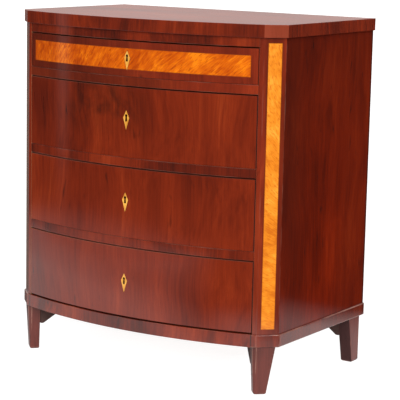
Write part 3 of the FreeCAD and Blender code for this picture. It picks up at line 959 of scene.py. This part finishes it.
def top_first(face):
    """0 for a face that points up, 2 straight down, 3 for the canted corners, 1 for the other edges."""
    if abs(face.normal.z) > mostly:
        return 0 if face.normal.z > 0 else 2 if face.normal.z < -straight else 1
    return 3 if abs(face.normal.x) > half and face.normal.y < -canted else 1


def front_first(face):
    """0 for the veneer, 1 for the back, 2 in the keyhole, 3 for the raw ends, 4 for the upper edge."""
    if face.normal.y > partly:
        return 1
    out = abs(face.calc_center_median().x)
    if abs(face.normal.x) > nearly and out > front_end_x:
        return 3
    if face.normal.z > straight:
        return 4
    in_keyhole = out < keyhole_wall_x and face.calc_area() < keyhole_wall_area
    return 2 if in_keyhole and abs(face.normal.y) < partly else 0


def base_first(face):
    """0 for the outside and the top of the moulding, 1 for the rest."""
    return 0 if face.normal.z > half else outside_first(face)


def polished_first(face):
    """0 for a foot's polished faces, 1 for those of a back foot that look in under the chest, painted near
    black as shade.
    """
    behind = face.calc_center_median().y > 0.0
    return outside_first(face) if behind and abs(face.normal.z) < half else 0


def post_first(face):
    """0 for the front and the cant, 2 for the part that lies in the side of the chest, 1 inside."""
    return 2 if face.normal.x * face.calc_center_median().x > in_side else outside_first(face)


def behind_keyhole(face):
    """1 for the face of a lock that shows through the keyhole, which gets near-black painted shade, 0 for the
    rest.
    """
    return 1 if face.normal.y < -half else 0


def face_first(face):
    """0 for a face that points to the front or the back, 1 for the walls of a hole."""
    return 0 if abs(face.normal.y) > partly else 1


print("a face counts as straight from", straight)

# %% [markdown]
# ## Top board
# The top is a wide mahogany board with a cross-grained edge. Its rim is the most handled edge of the
# chest, so its rounding is wide and has one segment more. Hands rub only the upper edge.

# %% Top board
top_rounding = 0.0018
top_middle_z = sum(corner.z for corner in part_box("top_board")) / 2


def above_middle(edge):
    """True for the edges of the top board's upper face."""
    return all(vert.co.z > top_middle_z for vert in edge.verts)


top_finishes = [top_mahogany, rail_mahogany, frame_crosswise, cant_mahogany]
top = eased("top_board", top_rounding, top_finishes, top_first, above_middle, segments=3)
print(top.name, len(top.data.polygons), "faces")

# %% [markdown]
# ## Sides, posts and rails
# These stand in one plane with each other, so their joints must stay closed: the rule on free edges takes
# care of that. What remains free are the long corners that catch the light.

# %% Sides, posts and rails
side_rounding, post_rounding, rail_rounding = 0.0010, 0.0012, 0.0007
for hand in ("left", "right"):
    eased("side_" + hand, side_rounding, [side_mahogany, frame_lengthwise], outside_first)
    eased("post_" + hand, post_rounding, [post_mahogany, frame_lengthwise, side_mahogany], post_first,
          segments=3)
for rail in ("rail_top", "rail_1", "rail_2", "rail_3"):
    veneer = feathered_rail if rail == "rail_1" else rail_mahogany
    eased(rail, rail_rounding, [veneer, frame_crosswise], outside_first)
print("sides, posts and rails done, rounded by", side_rounding, post_rounding, rail_rounding)

# %% [markdown]
# ## Base moulding and feet
# The moulding is a plain band with soft edges: a front length, two side lengths, and two corner blocks
# between them. The feet taper to the floor. Their soles are chipped round from being pushed over floors,
# so the sole gets a wide rounding first, and the long edges a narrow one after it.

# %% Base moulding and feet
moulding_rounding, frame_rounding = 0.0026, 0.0012
sole_rounding, foot_rounding = 0.006, 0.0014
sole_height = 0.0005
long_edge = 0.03

for length in ("base_front", "base_sides", "base_corners"):
    veneer = side_moulding if length == "base_sides" else moulding_mahogany
    eased(length, moulding_rounding, [veneer, frame_crosswise], base_first, segments=3)
eased("base_back", frame_rounding, [frame_crosswise])
for foot in ("foot_front_left", "foot_front_right", "foot_back_left", "foot_back_right"):
    bm = merged_copy(foot)
    sole = [e for e in bm.edges if all(v.co.z < sole_height for v in e.verts)]
    round_edges(bm, sole, sole_rounding, segments=4)
    long_edges = [e for e in sharp_edges(bm, foot) if e.calc_length() > long_edge]
    round_edges(bm, long_edges, foot_rounding)
    # The faces of the back feet that look in under the chest get the near-black raw tones as painted shade.
    place_piece(bm, "eased_" + foot, foot, [foot_mahogany, raw_and_shaded_mahogany], polished_first)
eased("foot_blocks", frame_rounding, [block_pine])
print("moulding and feet done, soles rounded by", sole_rounding)

# %% [markdown]
# ## Corner strips and the panel of the top drawer
# Inlay lies flush with the wood around it, so its edges stay sharp. Its border is a little darker, where
# glue and polish have crept in. An inset of the whole front face makes a border of even width, and a mark
# on the border's faces tells the finish where it is.

# %% Corner strips and the panel of the top drawer
border_width = 0.0012


def looks_forward(face):
    """True for the face of an inlay that shows."""
    return outside_first(face) == 0 and abs(face.normal.z) < half and face.normal.y < -half


def inlaid(node, name, finish):
    """Inlay with a marked border round its outer face."""
    bm = merged_copy(node)
    shown = [face for face in bm.faces if looks_forward(face)]
    rim = bmesh.ops.inset_region(bm, faces=shown, thickness=border_width, use_even_offset=True)["faces"]
    border = bm.faces.layers.float["border"]
    for face in rim:
        face[border] = 1.0
    rim_faces = len(rim)
    place_piece(bm, name, node, [finish])
    return rim_faces


strip_rim = inlaid("corner_strips", "inlaid_corner_strips", strip_satinwood)
panel_rim = inlaid("drawer_1_panel", "inlaid_panel", panel_satinwood)
print("border faces:", strip_rim, panel_rim)

# %% [markdown]
# ## Escutcheons
# The escutcheons are thin kites of bone let into the fronts. Keys have worn the rim of the keyhole, and its
# rounding takes the near-black finish of the hole, whose walls are painted shade.

# %% Escutcheons
rim_rounding = 0.0006
rim_depth = 0.0003
keyhole_reach = 0.0036


def escutcheon(node):
    """A bone kite whose keyhole walls are painted shade, with its worn rim as dark."""
    bm = merged_copy(node)
    rim_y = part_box(node)[0].y + rim_depth
    rim = [e for e in bm.edges if all(abs(v.co.x) < keyhole_reach and v.co.y < rim_y for v in e.verts)]
    round_edges(bm, rim, rim_rounding)
    worn = bm.faces.layers.float["wear"]

    def bone_first(face):
        """0 for bone, 1 for the walls and the worn rim of the keyhole."""
        return 1 if face[worn] else face_first(face)

    place_piece(bm, "eased_" + node, node, [bone, keyhole_shade], bone_first)


print("rim of a keyhole rounded by", rim_rounding)

# %% [markdown]
# ## Drawers
# Each drawer is a pine box behind a veneered front. It has been pulled out and pushed in for years, so the
# level edges of the front are rubbed pale. Veneer doesn't go round the corner: the ends of a front are raw,
# and its upper edge is bare. That upper edge shows in the gap above the drawer, where it is painted light on
# its left and painted shade on its right. The linings are handled less and only lose their sharpness.

# %% Drawers
front_rounding, lock_rounding = 0.0009, 0.0004
level_within = 0.001
linings = (("side_left", 0.0015, lining_lengthwise), ("side_right", 0.0015, lining_lengthwise),
           ("back", 0.0012, lining_crosswise), ("bottom", 0.0006, lining_crosswise))


def lies_level(edge):
    """True for an edge that runs from side to side."""
    start, end = (vert.co for vert in edge.verts)
    return abs(start.z - end.z) < level_within


for number in (1, 2, 3, 4):
    drawer = "drawer_%d_" % number
    veneer = feathered_mahogany if number == 2 else front_mahogany
    # The upper edge shows in the gap above the drawer and carries painted light and painted shade.
    upper_edge = low_gap_light_shade_mahogany if number == 4 else gap_light_shade_mahogany
    front_finishes = [veneer, lining_crosswise, keyhole_shade, raw_and_shaded_mahogany, upper_edge]
    eased(drawer + "front", front_rounding, front_finishes, front_first, lies_level)
    for board, board_rounding, finish in linings:
        eased(drawer + board, board_rounding, [finish])
    escutcheon(drawer + "escutcheon")
    eased(drawer + "lock", lock_rounding, [brass, keyhole_shade], behind_keyhole)
    eased(drawer + "bolt", lock_rounding, [iron])
refinish("drawer_1_banding", band_mahogany)
print("drawers done, fronts rounded by", front_rounding)

# %% [markdown]
# ## Inside and back
# Runners, guides, stops and the bottom board are only seen with a drawer open, and the back boards only
# from behind. They are sawn pine with edges that were never worked.

# %% Inside and back
sawn_rounding = 0.0008
inside_boards = {"drawer_runners": frame_lengthwise, "drawer_guides": frame_lengthwise,
                 "drawer_stops": frame_crosswise, "bottom_board": frame_crosswise, "back_boards": back_pine}
for board, finish in inside_boards.items():
    eased(board, sawn_rounding, [finish])
refinish("back_nails", iron)
print("inside boards done:", len(inside_boards))
